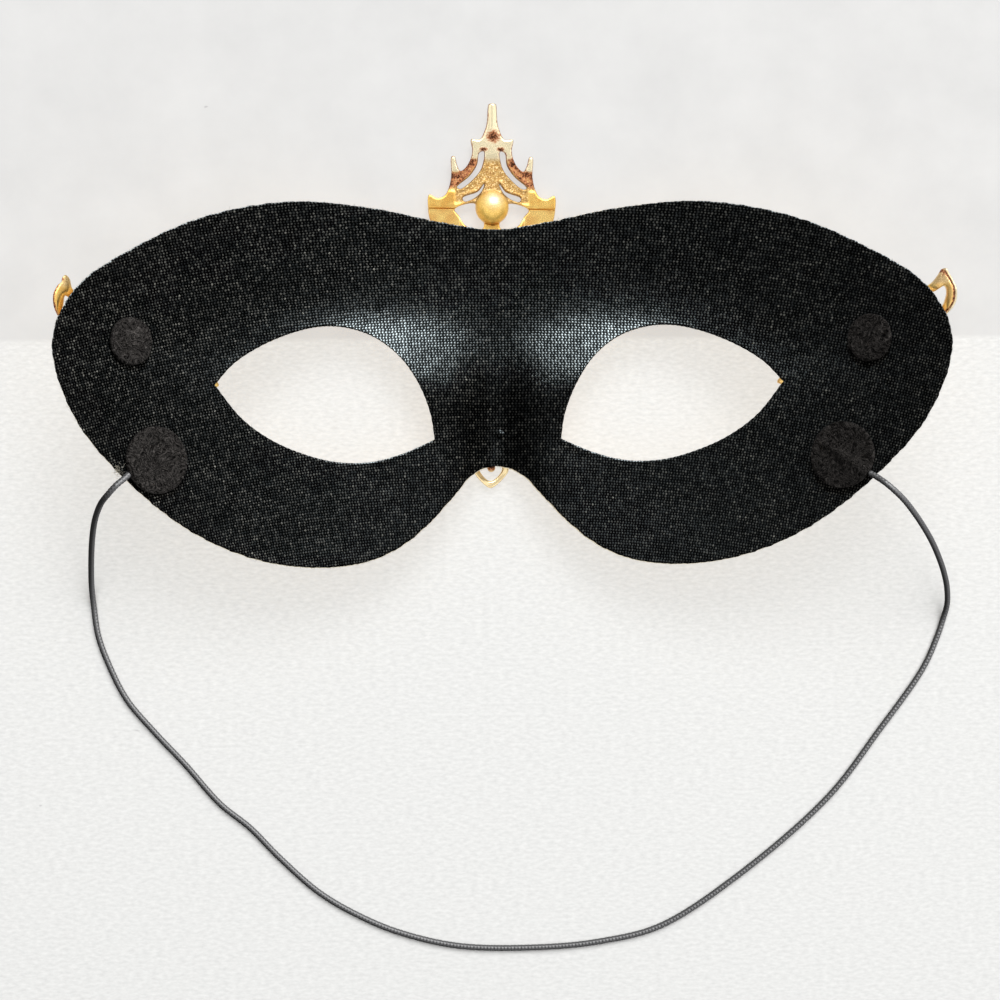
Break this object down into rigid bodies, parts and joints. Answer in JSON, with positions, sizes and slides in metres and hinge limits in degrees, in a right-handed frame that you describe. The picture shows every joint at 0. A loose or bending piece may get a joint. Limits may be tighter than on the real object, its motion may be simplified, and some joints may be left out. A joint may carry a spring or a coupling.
{
  "type": "masquerade mask",
  "caption": "Half-face masquerade mask lying face down: gold moulded shell with cast crest and temple ornaments, black knit lining, felt discs and an elastic cord.",
  "frame": {"origin": "on the surface the mask lies on, under the middle of its outline with the crest and without the cord", "axes": "+X across the mask to the picture's right, +Y from the cheeks to the crest, +Z from the gold front to the lined inside"},
  "size_m": [0.2052, 0.1988, 0.0469],
  "materials": {
    "gold_shell": "gold paint with darker wiped hollows",
    "black_lining": "coarse knit with small bright specks",
    "gold_casting": "bright gold plate, grained in the hollows",
    "black_felt": "pressed felt",
    "black_elastic": "braided elastic"
  },
  "bodies": {
    "root": {"shell": "gold_shell", "lining": "black_lining", "centre_ornament": "gold_casting", "side_ornament_left": "gold_casting", "side_ornament_right": "gold_casting", "small_felt_disc_left": "black_felt", "small_felt_disc_right": "black_felt", "cord_felt_disc_left": "black_felt", "cord_felt_disc_right": "black_felt", "elastic_cord": "black_elastic"}
  },
  "joints": []
}
